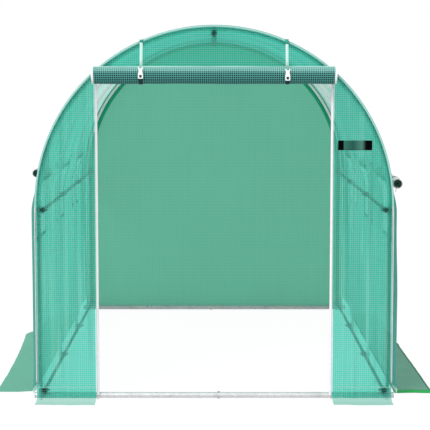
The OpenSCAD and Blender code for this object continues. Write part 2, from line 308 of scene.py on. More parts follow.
def rolledFinish(name, look):
    # many layers of film: dark cells and pale threads outside, dark low down partly from the layers and
    # partly as painted shade, lighter higher up as painted light with a painted highlight along the crown,
    # and the inner turns seen at the ends darkened as painted shade
    f = Finish(name)
    inward = f.cloth()[1]                 # length of film in from the outer edge
    threads = gridMask(f, {"pitch": weave["pitch"], "thread": look["wide"]})
    cloud = f.grain(*rolledSkin["cloud"])
    paintedTopLight = f.ramped(f.height() + (cloud - 0.5) * rolledSkin["paintedLightCloud"], *look["paintedLightSpan"])
    paintedCrownHighlight = f.ramped(f.height() + (cloud - 0.5) * rolledSkin["paintedHighlightCloud"], *look["paintedHighlightSpan"])
    paintedCoreShade = f.ramped(inward, look["outerTurn"], look["outerTurn"] * rolledSkin["coreEdge"])
    cell = f.mixed(paintedTopLight, look["cell"], look["paintedLitCell"])
    thread = f.mixed(paintedTopLight, look["thread"], look["paintedLitThread"])
    colour = f.mixed(threads, cell, thread)
    colour = f.mixed(paintedCrownHighlight, colour, look["paintedHighlightCell"])
    colour = f.mixed(paintedCoreShade, colour, look["core"])
    rough = f.ramped(cloud, *grainRange, *[look["rough"] + more for more in rolledSkin["rough"]])
    normal = f.bump(threads, *rolledSkin["raised"])
    return f.done(f.shell({"Base Color": colour, "Roughness": rough, "Normal": normal,
                           "Coat Weight": look["coat"], "Coat Roughness": rolledSkin["coatRough"],
                           "Specular IOR Level": rolledSkin["gloss"]}))


webbingLooks = {
    "tapeCloth": {"base": (0.29, 0.60, 0.54), "rib": (0.36, 0.66, 0.60), "rough": 0.5},
    "hemTape": {"base": (0.20, 0.62, 0.51), "rib": (0.26, 0.66, 0.56), "rough": 0.5},
    # pale grey: painted highlight on the binding where it runs down the walls
    "paintedHighlightWallTape": {"base": (0.62, 0.62, 0.62), "rib": (0.70, 0.70, 0.70), "rough": 0.5},
    "seamCloth": {"base": (0.014, 0.36, 0.19), "rib": (0.020, 0.41, 0.23), "rough": 0.5},
    "loopCloth": {"base": (0.020, 0.30, 0.205), "rib": (0.035, 0.36, 0.25), "rough": 0.5},
    "greenHem": {"base": (0.002, 0.34, 0.060), "rib": (0.004, 0.38, 0.075), "rough": 0.6},
    "edgeTape": {"base": (0.055, 0.19, 0.11), "rib": (0.065, 0.21, 0.12), "rough": 0.6},
    "rimTape": {"base": (0.36, 0.31, 0.33), "rib": (0.42, 0.37, 0.39), "rough": 0.55},
    "zipTape": {"base": (0.90, 0.90, 0.90), "rib": (0.82, 0.84, 0.84), "rough": 0.55},
    "strapCloth": {"base": (0.52, 0.73, 0.675), "rib": (0.60, 0.79, 0.74), "rough": 0.6},
    # near-black: the window ties' webbing, and painted shade on the door straps below their buckles
    "tieClothAndStrapShade": {"base": (0.008, 0.036, 0.030), "rib": (0.014, 0.050, 0.042), "rough": 0.6},
}
ribs = {"pitch": 0.0024, "thread": 0.0011}
webbingSkin = {"dirt": (30, 4), "dirtRange": (0.35, 0.7), "dirtShade": 0.88, "raised": (0.5, 0.0004),
               "rough": (-0.05, 0.1), "gloss": 0.12}


def webbingFinish(name, look):
    # narrow woven tape: fine raised ribs both ways, a little paler than the ground between them
    f = Finish(name)
    ribbed = gridMask(f, ribs)
    dirt = f.grain(*webbingSkin["dirt"])
    dirty = shaded(look["base"], webbingSkin["dirtShade"])
    base = f.mixed(f.ramped(dirt, *webbingSkin["dirtRange"]), look["base"], dirty)
    colour = f.mixed(ribbed, base, look["rib"])
    normal = f.bump(ribbed, *webbingSkin["raised"])
    rough = f.ramped(dirt, *grainRange, *[look["rough"] + more for more in webbingSkin["rough"]])
    return f.done(f.shell({"Base Color": colour, "Roughness": rough, "Normal": normal,
                           "Specular IOR Level": webbingSkin["gloss"]}))


netLook = {"thread": (0.80, 0.88, 0.85), "tint": (0.96, 1.0, 0.98), "grain": 40, "rough": (0.5, 0.7),
           "weave": {"pitch": 0.0030, "thread": 0.0007}}


def netFinish(name, look):
    # open net: threads with clear gaps between them
    f = Finish(name)
    threads = gridMask(f, look["weave"])
    rough = f.ramped(f.grain(look["grain"]), *grainRange, *look["rough"])
    skin = f.shell({"Base Color": look["thread"], "Roughness": rough})
    clear = f.node("BsdfTransparent", None, {"Color": look["tint"]})
    return f.done(f.blended(threads, clear, skin))


# one grey per part of the same galvanised tube: the front legs, long tubes and rear rail are darker as
# painted shade, and the front base rail is paler as painted light
zincGreyWithPaintedLight = {"frontArch": 0.60, "frontLeg": 0.34, "longTube": 0.055, "baseRail": 0.57, "rearRail": 0.40}
zincShades = {"base": 1.0, "pale": 1.18, "dull": 0.78}
zincCast = (1.0, 1.005, 1.015)            # faintly blue
zincSkin = {"spangle": 90.0, "clouds": (9, 5), "cloudRange": (0.52, 0.75), "cloudShare": 0.6, "metal": 0.5,
            "roughRange": (0.25, 0.75), "rough": (0.26, 0.46), "pits": (160, 2), "raised": (0.08, 0.0005)}


def zincLook(grey):
    return {key: tuple(grey * share * cast for cast in zincCast) for key, share in zincShades.items()}


def galvanisedFinish(name, look):
    # zinc skin: a soft spangle and a few duller clouds
    f = Finish(name)
    spangle = f.node("TexVoronoi", None, {"Vector": f.place(), "Scale": zincSkin["spangle"]}, out=1)
    grey = f.node("SeparateXYZ", None, {0: spangle})
    clouds = f.grain(*zincSkin["clouds"])
    clouded = f.ramped(clouds, *zincSkin["cloudRange"], 0.0, zincSkin["cloudShare"])
    colour = f.mixed(clouded, f.mixed(grey, look["base"], look["pale"]), look["dull"])
    rough = f.ramped(clouds, *zincSkin["roughRange"], *zincSkin["rough"])
    normal = f.bump(f.grain(*zincSkin["pits"]), *zincSkin["raised"])
    return f.done(f.shell({"Base Color": colour, "Roughness": rough, "Metallic": zincSkin["metal"],
                           "Normal": normal}))


paintLooks = {
    "tubePaint": {"base": (0.98, 0.81, 0.87), "worn": (0.93, 0.77, 0.83), "rough": 0.38},
    "hubPlastic": {"base": (0.005, 0.016, 0.016), "worn": (0.010, 0.026, 0.025), "rough": 0.45},
    "plugPlastic": {"base": (0.42, 0.44, 0.44), "worn": (0.34, 0.36, 0.36), "rough": 0.45},
    "bucklePlastic": {"base": (0.88, 0.89, 0.89), "worn": (0.80, 0.82, 0.82), "rough": 0.30},
}
coatSkin = {"mottle": (40, 4), "wornRange": (0.4, 0.75), "rough": (-0.06, 0.1), "peel": (320, 2),
            "raised": (0.06, 0.0004)}


def paintedFinish(name, look):
    # smooth coat or moulding: faint mottling and an orange-peel skin
    f = Finish(name)
    mottle = f.grain(*coatSkin["mottle"])
    colour = f.mixed(f.ramped(mottle, *coatSkin["wornRange"]), look["base"], look["worn"])
    rough = f.ramped(mottle, *grainRange, *[look["rough"] + more for more in coatSkin["rough"]])
    normal = f.bump(f.grain(*coatSkin["peel"]), *coatSkin["raised"])
    return f.done(f.shell({"Base Color": colour, "Roughness": rough, "Normal": normal}))


boltLook = {"base": (0.55, 0.56, 0.54), "stained": (0.36, 0.36, 0.33), "stain": (120, 4),
            "stainRange": (0.45, 0.7), "rough": (0.28, 0.5), "metal": 0.9}


def boltFinish(name, look):
    # plated steel with dull stains
    f = Finish(name)
    stain = f.grain(*look["stain"])
    colour = f.mixed(f.ramped(stain, *look["stainRange"]), look["base"], look["stained"])
    rough = f.ramped(stain, *grainRange, *look["rough"])
    return f.done(f.shell({"Base Color": colour, "Roughness": rough, "Metallic": look["metal"]}))


patchDark = (0.0012, 0.0012, 0.0012)
patchLook = {
    "stops": [(0.0, patchDark), (0.160, patchDark), (0.175, (0.034, 0.15, 0.118)),
              (0.45, (0.019, 0.088, 0.071)), (0.70, (0.065, 0.20, 0.16)),
              (0.79, (0.010, 0.030, 0.025)), (0.82, patchDark), (1.0, patchDark)],
    "weave": {"pitch": 0.0022, "thread": 0.0011}, "raised": (0.4, 0.0003), "grain": (90, 3),
    "rough": (0.5, 0.65), "gloss": 0.02,
}


def patchFinish(name, look):
    # plain coated cloth: dark ends, a green sheen over its middle
    f = Finish(name)
    share = (f.cloth()[0] - patchLow.x) / (patchHigh.x - patchLow.x)
    colour = f.node("ValToRGB", {"stops": look["stops"]}, {0: share})
    rough = f.ramped(f.grain(*look["grain"]), *grainRange, *look["rough"])
    normal = f.bump(gridMask(f, look["weave"]), *look["raised"])
    return f.done(f.shell({"Base Color": colour, "Roughness": rough, "Normal": normal,
                           "Specular IOR Level": look["gloss"]}))


coverFilm = filmFinish("coverFilm", coverLook)
rearFilm = filmFinish("rearFilm", rearLook)
frontFilm = filmFinish("frontFilm", panelLook)
paintedShadeTopFilm = filmFinish("paintedShadeTopFilm", paintedShadeTopLook)
hemFilm = filmFinish("hemFilm", hemLook)
skirtFilm = filmFinish("skirtFilm", skirtLook)
paintedShadeSkirtFilm = filmFinish("paintedShadeSkirtFilm", paintedShadeSkirtLook)
flapFilm = filmFinish("flapFilm", flapLook)
paintedShadeFlapFilm = filmFinish("paintedShadeFlapFilm", paintedShadeFlapLook)
rolledFilm = rolledFinish("rolledFilm", rolledLook)
rolledCover = rolledFinish("rolledCover", rolledCoverLook)
webbing = {name: webbingFinish(name, look) for name, look in webbingLooks.items()}
windowNet = netFinish("windowNet", netLook)
zincs = {part: galvanisedFinish(part + "Zinc", zincLook(grey)) for part, grey in zincGreyWithPaintedLight.items()}
paints = {name: paintedFinish(name, look) for name, look in paintLooks.items()}
boltZinc = boltFinish("boltZinc", boltLook)
patchCloth = patchFinish("patchCloth", patchLook)
print("finishes made")


def finishNode(material, *names):
    for name in names:
        slots = nodes[name].data.materials
        slots.clear()
        slots.append(material)


# darker zinc on the front legs, long tubes and rear rail is painted shade; paler zinc on the front base
# rail is painted light
finishNode(zincs["frontLeg"], "front_hoop_legs")
finishNode(zincs["frontArch"], "front_hoop_arch")
innerHoops = [hoop + part for hoop in hoopNames[1:] for part in ("_hoop_legs", "_hoop_arch")]
finishNode(paints["tubePaint"], "door_posts", "ridge_purlin", *innerHoops)
finishNode(zincs["longTube"], "left_purlin", "right_purlin", "left_base_rail", "right_base_rail")
finishNode(zincs["baseRail"], "front_base_rail")
finishNode(zincs["rearRail"], "rear_base_rail")
finishNode(paints["plugPlastic"], "base_rail_plugs")
finishNode(paints["hubPlastic"], "purlin_hubs", "base_rail_hubs")
finishNode(boltZinc, "purlin_bolts", "base_rail_bolts", "corner_bolts", "splice_bolts")


# mesh helpers
def asPiece(name, bm, material, slot, *replaced):
    mesh = bpy.data.meshes.new(name)
    bm.to_mesh(mesh)
    bm.free()
    for polygon in mesh.polygons:
        polygon.use_smooth = True
    mesh.materials.append(material)
    piece = bpy.data.objects.new(name, mesh)
    scene.collection.objects.link(piece)
    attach(piece, "root")
    if replaced:
        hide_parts(*replaced)
    return piece


def spread(marks, step):
    # lines between the marks, evenly spaced from each mark to the next
    lines = [marks[0]]
    for start, end in zip(marks, marks[1:]):
        parts = max(1, round((end - start) / step))
        lines += [start + (end - start) * (i + 1) / parts for i in range(parts)]
    return lines


def facesOf(verts):
    return {face for vert in verts for face in vert.link_faces}


def layCloth(bm, us, vs, place, hole=None):
    # a flat grid whose lines lie at us and vs, each point moved to place(u, v)
    uvs = bm.loops.layers.uv.get("cloth") or bm.loops.layers.uv.new("cloth")
    made = bmesh.ops.create_grid(bm, x_segments=len(us) - 1, y_segments=len(vs) - 1, size=0.5)["verts"]
    flat = {}
    for vert in made:
        i = round((vert.co.x + 0.5) * (len(us) - 1))
        j = round((vert.co.y + 0.5) * (len(vs) - 1))
        flat[vert] = (us[i], vs[j])
        vert.co = place(us[i], vs[j])
    gone = []
    for face in facesOf(made):
        for loop in face.loops:
            loop[uvs].uv = flat[loop.vert]
        centre = [sum(flat[v][k] for v in face.verts) / len(face.verts) for k in (0, 1)]
        if hole and hole(*centre):
            gone.append(face)
    if gone:
        bmesh.ops.delete(bm, geom=gone, context="FACES")
    return made


def smooth(low, high, value):
    t = min(1.0, max(0.0, (value - low) / (high - low)))
    return t * t * (3 - 2 * t)


def ripple(a, b, seed):
    return noise.noise(Vector((a, b, seed)))


def ripples(rows, a, b, seed=0):
    # ripples of several sizes added up: a row gives a size, a scale along a and along b, and a seed
    return sum(size * ripple(a * overA, b * overB, seed + more) for size, overA, overB, more in rows)


def thicken(piece, thickness, edge=None):
    made = piece.modifiers.new("thickness", "SOLIDIFY")
    made.thickness = thickness
    made.offset = 0
    if edge:
        made = piece.modifiers.new("edge", "BEVEL")
        made.width = edge
        made.segments = 2
    return piece


def layTape(bm, path, sideways, width):
    # a flat tape along a list of points, its width lying along the direction sideways
    lengths = [0.0]
    for a, b in zip(path, path[1:]):
        lengths.append(lengths[-1] + (b - a).length)
    at = dict(zip(lengths, path))
    layCloth(bm, [-width / 2, 0.0, width / 2], lengths, lambda u, v: at[v] + sideways * u)


def sweep(centre, radius, start, end, steps, first, second):
    # points on an arc, measured in degrees from the direction first towards second
    turns = [math.radians(start + (end - start) * i / steps) for i in range(steps + 1)]
    return [centre + first * (radius * math.cos(t)) + second * (radius * math.sin(t)) for t in turns]


# the tunnel cover: one sheet over the hoops from ground to ground
cover = {
    "step": 0.016, "onTop": 0.001, "tuck": (0.014, 0.10),           # tight at each end, loose further in
    "lip": 0.0065, "lipY": (0.03, 0.012),                           # raised rim at each end
    "wallOut": 0.0325, "bulgeZ": (winTop + 0.06, winTop - 0.16),    # the walls bulge out lower down
    "rightOut": 0.008, "rightZ": (0.95, 0.55),                      # the right wall a little more
    "footOut": 0.012, "footZ": 0.12, "cutZ": 0.0975, "cutY": 0.21, "cutCurve": 1.5,
    "sag": 0.010, "wallFold": 0.009, "wallStill": 0.45, "roofFold": 0.007,
    "pleats": [(1.0, 6, 0.35, 3.1), (0.6, 15, 0.8, 7.7), (0.35, 37, 1.9, 9.1)],
}
archL = math.pi * coverR
coverW = 2 * springZ + archL
archSs = [springZ, springZ + archL]


def archPlace(s):
    # point and outward direction on the cover's outline, s metres up from the left foot
    if s < archSs[0]:
        return Vector((-coverR, 0, s)), -across
    if s > archSs[1]:
        return Vector((coverR, 0, coverW - s)), across.copy()
    turn = (s - springZ) / coverR
    out = Vector((-math.cos(turn), 0, math.sin(turn)))
    return upward * springZ + out * coverR, out


def bayShare(y):
    # 0 at a hoop, 1 halfway between two hoops
    along = (y - hoopYs[0]) / bayL
    return math.sin(math.pi * along) ** 2 if 0 < along < len(bayMids) else 0.0


def coverPlace(s, y):
    base, out = archPlace(s)
    fromEnd = coverY - abs(y)
    # the foot is cut away at each end
    cut = cover["cutZ"] * smooth(cover["cutY"], 0, fromEnd) ** cover["cutCurve"]
    if base.z < 2 * cover["cutZ"]:
        base.z = cut + base.z * (2 * cover["cutZ"] - cut) / (2 * cover["cutZ"])
    z = base.z
    wall = smooth(*cover["bulgeZ"], z)
    loose = smooth(*cover["tuck"], fromEnd)
    bay = bayShare(y)
    onWall = wall * cover["wallFold"] * (cover["wallStill"] + (1 - cover["wallStill"]) * bay)
    onRoof = (1 - wall) * cover["roofFold"] * bay
    fold = ripples(cover["pleats"], y, s) * (onWall + onRoof)
    swell = cover["onTop"] + wall * cover["wallOut"] * loose + fold * loose
    swell -= cover["sag"] * bay * (1 - wall)
    if s > archSs[1]:
        swell += cover["rightOut"] * smooth(*cover["rightZ"], z) * loose
    swell += cover["footOut"] * smooth(cover["footZ"], 0.0, z) * loose
    swell += cover["lip"] * smooth(*cover["lipY"], fromEnd)
    return base + out * swell - forward * y


def inWindow(s, y):
    z = archPlace(s)[0].z
    along = abs((y - hoopYs[0]) % bayL - bayL / 2)
    return winBottom < z < winTop and along < winL


def upArch(z):
    # length up the outline from the foot to a height
    return z if z < springZ else springZ + coverR * math.asin((z - springZ) / coverR)


windowSs = [upArch(winBottom), upArch(winTop)]
coverSs = [0] + windowSs + [coverW - s for s in reversed(windowSs)] + [coverW]
coverYs = [-coverY] + [m + e for m in bayMids for e in (-winL, winL)] + [coverY]
bm = bmesh.new()
layCloth(bm, spread(coverSs, cover["step"]), spread(coverYs, cover["step"]), coverPlace, inWindow)
tunnelCover = asPiece("tunnelCover", bm, coverFilm, "cover_film", "left_wall_cover", "right_wall_cover",
                      "left_roof_cover", "right_roof_cover")
print("cover made:", len(tunnelCover.data.polygons), "faces")

# a second layer of film stiffens each end of the cover
endHem = {"start": 0.012, "width": 0.088, "proud": 0.0014}
bm = bmesh.new()
for facing in (-1, 1):
    edges = sorted(facing * (coverY - endHem["start"] - w) for w in (0, endHem["width"]))
    made = layCloth(bm, spread([0] + archSs + [coverW], cover["step"]), spread(edges, cover["step"]),
                    lambda s, y: coverPlace(s, y) + archPlace(s)[1] * endHem["proud"])
    for face in facesOf(made):
        face.material_index = int(facing > 0)
endHems = asPiece("endHems", bm, hemFilm, "cover_film")
endHems.data.materials.append(coverFilm)

# tape folded over the corner where an end sheet meets the cover
binding = {"inner": 0.0025, "wallInner": 0.0088, "outer": 0.0135, "archIn": 0.003, "change": 0.1,
           "side": 0.012, "proud": 0.0015, "thick": 0.0010, "step": 0.02}


def bindCorner(bm, facing):
    face = binding["outer"] - binding["inner"]

    def place(u, s):
        base, out = archPlace(s)
        y = facing * (coverY + binding["proud"] - max(0.0, u - face))
        # 1 on the straight legs, 0 on the arch
        wall = smooth(springZ + binding["change"], springZ - binding["change"], base.z)
        inner = binding["inner"] + (binding["wallInner"] - binding["inner"]) * wall
        outer = binding["outer"] - binding["archIn"] * (1 - wall)
        return base + out * (hoopR + tubeR + (inner if u == 0 else outer) - coverR) - forward * y

    marks = [cover["cutZ"]] + archSs + [coverW - cover["cutZ"]]
    made = layCloth(bm, [0, face, face + binding["side"]], spread(marks, binding["step"]), place)
    # the binding's run down the walls takes pale grey tape as a painted highlight along the legs
    for part in facesOf(made):
        part.material_index = int(part.calc_center_median().z < springZ)


bm = bmesh.new()
bindCorner(bm, -1)
bindCorner(bm, 1)
cornerBindings = thicken(asPiece("cornerBindings", bm, webbing["tapeCloth"], "webbing"), binding["thick"])
cornerBindings.data.materials.append(webbing["paintedHighlightWallTape"])

windowFrame = {"width": 0.022, "proud": 0.0014, "thick": 0.0008, "step": 0.02}
bm = bmesh.new()
for sign in (-1, 1):
    for mid in bayMids:
        reach = windowFrame["width"]
        us = spread([windowSs[0] - reach] + windowSs + [windowSs[1] + reach], windowFrame["step"])
        vs = spread([mid - winL - reach, mid - winL, mid + winL, mid + winL + reach], windowFrame["step"])

        def framePlace(s, y, sign=sign):
            point = coverPlace(s, y)
            return Vector((sign * (abs(point.x) + windowFrame["proud"]), point.y, point.z))

        layCloth(bm, us, vs, framePlace, inWindow)
windowFrames = thicken(asPiece("windowFrames", bm, webbing["tapeCloth"], "webbing"), windowFrame["thick"])


# end sheets: columns run up from the ground to the arch
ends = {
    "columnL": 0.015, "rowL": 0.018, "merge": 0.00005, "lift": 0.004, "fold": 0.0045, "gather": 0.0016,
    "folds": [(1.0, 11, 0.8, 0), (0.5, 27, 2, 4)], "gathers": [(1.0, 60, 2, 9)],
    "free": (1.0, 0.9), "bound": (0.85, 0.98), "frontLow": 0.016, "rearLow": 0.002,
    "footOut": 0.0075, "footZ": (0.12, 0.07), "footX": (0.95, 1.0),
}


def endPoint(x, z, planeY, seed):
    # a point on an end sheet, which stands slightly proud of its plane away from the hoop
    radius = math.hypot(x, max(0.0, z - springZ)) / panelR
    fold = ends["fold"] * ripples(ends["folds"], x, z, seed)
    gather = ends["gather"] * ripples(ends["gathers"], math.atan2(x, z - springZ), radius, seed)
    lift = (ends["lift"] + fold) * smooth(*ends["free"], radius) + gather * smooth(*ends["bound"], radius)
    foot = ends["footOut"] * smooth(*ends["footZ"], z) * smooth(*ends["footX"], abs(x) / panelR)
    return Vector((x + math.copysign(foot, x), planeY + math.copysign(1, planeY) * lift, z))


def endPiece(name, node, film, startX, endX, lowZ, planeY, seed):
    turns = [math.asin(max(-1, min(1, x / panelR))) for x in (startX, endX)]
    columns = round(abs(turns[1] - turns[0]) * panelR / ends["columnL"])
    rows = round((springZ + panelR - lowZ) / ends["rowL"])
    us = [turns[0] + (turns[1] - turns[0]) * i / columns for i in range(columns + 1)]
    vs = [j / rows for j in range(rows + 1)]

    def place(turn, share):
        top = springZ + panelR * math.cos(turn)
        return endPoint(panelR * math.sin(turn), lowZ + (top - lowZ) * share, planeY, seed)

    bm = bmesh.new()
    made = layCloth(bm, us, vs, place)
    uvs = bm.loops.layers.uv["cloth"]
    for vert in made:
        for loop in vert.link_loops:
            loop[uvs].uv = (vert.co.x, vert.co.z)
    bmesh.ops.remove_doubles(bm, verts=bm.verts, dist=ends["merge"])
    bmesh.ops.recalc_face_normals(bm, faces=bm.faces)
    return asPiece(name, bm, film, "cover_film", node)


leftSeed, topSeed, rightSeed, rearSeed = 2.0, 4.0, 6.0, 8.0
frontLow, rearLow = ends["frontLow"], ends["rearLow"]
frontLeft = endPiece("frontLeftPanel", "front_left_panel", frontFilm, -panelR, -edgeX, frontLow, frontY,
                     leftSeed)
frontRight = endPiece("frontRightPanel", "front_right_panel", frontFilm, edgeX, panelR, frontLow, frontY,
                      rightSeed)
frontTop = endPiece("frontTopPanel", "front_top_panel", paintedShadeTopFilm, -edgeX, edgeX, rollAxis.z, frontY, topSeed)
rearSheet = endPiece("rearPanel", "rear_panel", rearFilm, -panelR, panelR, rearLow, rearY, rearSeed)
print("end panels made")

seamBand = {"width": 0.031, "rim": 0.0160, "gap": 0.0026, "thick": 0.0008, "step": 0.02}


def bandPlace(u, s):
    base, out = archPlace(s)
    return base + out * (u - coverR) - forward * (rearY - seamBand["gap"])


bandOuter = panelR - seamBand["rim"]
bandSs = spread([rearLow] + archSs + [coverW - rearLow], seamBand["step"])
bm = bmesh.new()
layCloth(bm, [bandOuter - seamBand["width"], bandOuter], bandSs, bandPlace)
rearSeamBand = thicken(asPiece("rearSeamBand", bm, webbing["seamCloth"], "webbing"), seamBand["thick"])

hem = {"z": 0.0755, "width": 0.0036, "proud": 0.0016, "thick": 0.0008, "step": 0.012}
for side, startX, endX, seed in (("left", -panelR, -edgeX, leftSeed), ("right", edgeX, panelR, rightSeed)):
    bm = bmesh.new()
    path = [endPoint(x, hem["z"], frontY, seed) + forward * hem["proud"]
            for x in spread([startX, endX], hem["step"])]
    layTape(bm, path, upward, hem["width"])
    thicken(asPiece(side + "PanelHem", bm, webbing["hemTape"], "webbing"), hem["thick"])

print("tapes sewn")


# film that lies out on the ground
ground = {"step": 0.02, "wave": 0.006, "low": 0.0015, "rise": 0.15,
          "swells": [(1.0, 5, 4, 0), (0.6, 12, 11, 3)]}
flap = {"wave": 0.004, "rampY": 0.05}
skirt = {"out": 0.066, "grow": (-1.29, 0.44), "fall": (0.68, 0.45), "front": {"left": 0.02, "right": 0.055},
         "corner": 0.035, "cornerBack": 0.6, "lean": 0.008}


def groundPoint(x, y, seed, wave):
    swell = ripples(ground["swells"], x, y, seed) + ground["rise"]
    return Vector((x, y, ground["low"] + wave * max(0.0, swell)))


def groundPiece(name, node, film, blocks, place):
    bm = bmesh.new()
    for startX, endX, startY, endY in blocks:
        layCloth(bm, spread([startX, endX], ground["step"]), spread([startY, endY], ground["step"]), place)
    return asPiece(name, bm, film, "ground_film", node)


def groundSheet(blocks):
    area = sum((b[1] - b[0]) * (b[3] - b[2]) for b in blocks)
    depth = blocks[0][3] - blocks[0][2]
    area / depth


skirtFoot = coverR + cover["onTop"] + cover["wallOut"] + cover["footOut"]
leftGround, rightGround, frontGround, rearGround = 1.0, 12.0, 23.0, 31.0


def roundCorner(x, y, side):
    # the front edge curves back where it meets the wall
    front = skirtLow.y - skirt["front"][side]
    near = smooth(skirt["corner"], 0.0, abs(x) - skirtFoot) * smooth(2 * skirt["corner"], 0.0, y - front)
    return y + skirt["cornerBack"] * skirt["corner"] * near ** 2


def outerShare(x):
    # 0 at the wall, 1 at the skirt's outer edge
    return (abs(x) - skirtFoot) / (skirtHigh.x - skirtFoot)


def leftSkirtPlace(x, y):
    # the loose outer edge swings out most just behind the middle
    start, end = skirt["grow"]
    swing = skirt["out"] * max(0.0, (y - start) / (end - start)) ** 2 * smooth(*skirt["fall"], y)
    return groundPoint(x - swing * outerShare(x), roundCorner(x, y, "left"), leftGround, ground["wave"])


def rightSkirtPlace(x, y):
    # the outer edge leans in towards the rear
    lean = skirt["lean"] * (y - skirtLow.y + skirt["front"]["right"])
    return groundPoint(x - lean * outerShare(x), roundCorner(x, y, "right"), rightGround, ground["wave"])


def flapPlace(x, y, back, low, seed):
    # the flap leaves the panel a little above the ground
    point = groundPoint(x, y, seed, flap["wave"])
    point.z += (low - ground["low"]) * smooth(flap["rampY"], 0.0, abs(y - back))
    return point


leftBlocks = [(-skirtHigh.x, -skirtFoot, skirtLow.y - skirt["front"]["left"], skirtHigh.y)]
rightBlocks = [(skirtFoot, skirtHigh.x, skirtLow.y - skirt["front"]["right"], skirtHigh.y)]
flapLow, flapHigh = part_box("front_flaps")
flapX = flapHigh.x + ends["footOut"]
flapBlocks = [(-flapX, -edgeX, flapLow.y, flapHigh.y), (edgeX, flapX, flapLow.y, flapHigh.y)]
backLow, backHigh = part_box("rear_flap")
backBlocks = [(backLow.x, backHigh.x, backLow.y, backHigh.y)]
leftSkirt = groundPiece("leftSkirt", "left_skirt", skirtFilm, leftBlocks, leftSkirtPlace)
# the right skirt carries painted shade
rightSkirt = groundPiece("rightSkirt", "right_skirt", paintedShadeSkirtFilm, rightBlocks, rightSkirtPlace)
frontFlaps = groundPiece("frontFlaps", "front_flaps", flapFilm, flapBlocks,
                         lambda x, y: flapPlace(x, y, flapHigh.y, frontLow, frontGround))
frontFlaps.data.materials.append(paintedShadeFlapFilm)     # the right flap carries painted shade
for polygon in frontFlaps.data.polygons:
    polygon.material_index = int(polygon.center.x > 0)
rearFlap = groundPiece("rearFlap", "rear_flap", flapFilm, backBlocks,
                       lambda x, y: flapPlace(x, y, backLow.y, rearLow, rearGround))

skirtHem = {"width": 0.075, "edge": 0.009, "proud": 0.0012, "thick": 0.0008}
startY, endY = rightBlocks[0][2:]
bm = bmesh.new()
for y in (startY + skirtHem["width"] / 2, endY - skirtHem["width"] / 2):
    path = [rightSkirtPlace(x, y) + upward * skirtHem["proud"]
            for x in spread([skirtFoot, skirtHigh.x], ground["step"])]
    layTape(bm, path, -forward, skirtHem["width"])
skirtHems = thicken(asPiece("skirtHems", bm, webbing["greenHem"], "webbing"), skirtHem["thick"])
path = [rightSkirtPlace(skirtHigh.x - skirtHem["edge"] / 2, y) + upward * skirtHem["proud"]
        for y in spread([startY + skirtHem["width"], endY - skirtHem["width"]], ground["step"])]
bm = bmesh.new()
layTape(bm, path, across, skirtHem["edge"])
skirtEdge = thicken(asPiece("skirtEdge", bm, webbing["edgeTape"], "webbing"), skirtHem["thick"])
groundSheet(leftBlocks)
groundSheet(rightBlocks)
groundSheet(flapBlocks)
groundSheet(backBlocks)
print("ground film laid")


# rolled film: one sheet wound from its outer edge to its core
doorRoll = {"pitch": 0.0042, "core": 0.008, "around": 40, "step": 0.02, "dent": 0.0022, "rim": 0.011,
            "plump": 0.0025, "drop": 0.0025, "start": 140, "seed": 4.4, "rimL": math.inf}
coverRoll = {"pitch": 0.0050, "core": 0.004, "around": 28, "step": 0.02, "dent": 0.0012, "rim": 0.004,
             "thick": 0.0040, "start": 50, "seed": 7.0, "swingCurve": 1.5,
             "swing": {("left", 0): Vector((-0.012, 0, 0.022)), ("right", 0): Vector((0.044, 0, -0.038))},
             "fuller": {("right", 0): 0.0045}, "rimL": {("right", 0): 0.22}}
winding = {"dents": (6, 0.8, 6.3), "dentIn": 0.4, "dentFrom": 0.2, "slip": 0.004, "slipTurn": 0.7,
           "slipSeed": 2.2, "rimSlack": 0.0005}


def wound(outerR, roll):
    # flat length of the roll, and the turn at a length in from the outer edge
    tight = roll["pitch"] / (2 * math.pi)
    length = (outerR ** 2 - roll["core"] ** 2) / (2 * tight)
    return length, lambda s: (outerR - math.sqrt(max(0.0, outerR ** 2 - 2 * tight * s))) / tight


def rollFilm(bm, axisAt, along, halfL, outerR, roll, startTurn, spin, seed, rimL):
    # the film's ends have the rim's finish for rimL metres in from the outer edge
    length, turnAt = wound(outerR, roll)
    tight = roll["pitch"] / (2 * math.pi)
    side = along.cross(upward)
    turns = turnAt(length)
    rows = round(turns / (2 * math.pi) * roll["around"])
    vs = [outerR * t - tight * t * t / 2 for t in [turns * j / rows for j in range(rows + 1)]]
    rim = halfL - roll["rim"]
    us = spread([-halfL, -rim, rim, halfL], roll["step"])

    def place(u, s):
        turn = turnAt(s)
        radius = outerR - tight * turn
        angle = startTurn + spin * turn
        overL, overTurn, repeat = winding["dents"]
        dent = roll["dent"] * (ripple(u * overL, angle * overTurn % repeat, seed) - winding["dentIn"])
        dent *= smooth(winding["dentFrom"], 1.0, radius / outerR)
        out = side * math.cos(angle) + upward * math.sin(angle)
        slip = winding["slip"] * ripple(turn * winding["slipTurn"], seed, winding["slipSeed"]) * (u / halfL)
        return axisAt(u) + along * slip + out * (radius + dent)

    made = layCloth(bm, us, vs, place)
    uvs = bm.loops.layers.uv["cloth"]
    for face in facesOf(made):
        corners = [loop[uvs].uv for loop in face.loops]
        atEnd = min(abs(u) for u, s in corners) > rim - winding["rimSlack"]
        if atEnd and max(s for u, s in corners) < rimL:
            face.material_index = 1
    return length


bm = bmesh.new()
doorL = rollHigh.x - rollLow.x
doorR = rollR + doorRoll["plump"]
doorAxis = rollAxis + Vector((0, -doorRoll["plump"], -doorRoll["drop"]))
flatL = rollFilm(bm, lambda u: doorAxis + across * u, across, doorL / 2, doorR, doorRoll,
                 math.radians(doorRoll["start"]), -1, doorRoll["seed"], doorRoll["rimL"])
rolledDoor = asPiece("rolledDoor", bm, rolledFilm, "rolled_film", "door_roll")
rolledDoor.data.materials.append(webbing["zipTape"])
print("door rolled from", round(flatL, 3), "m")

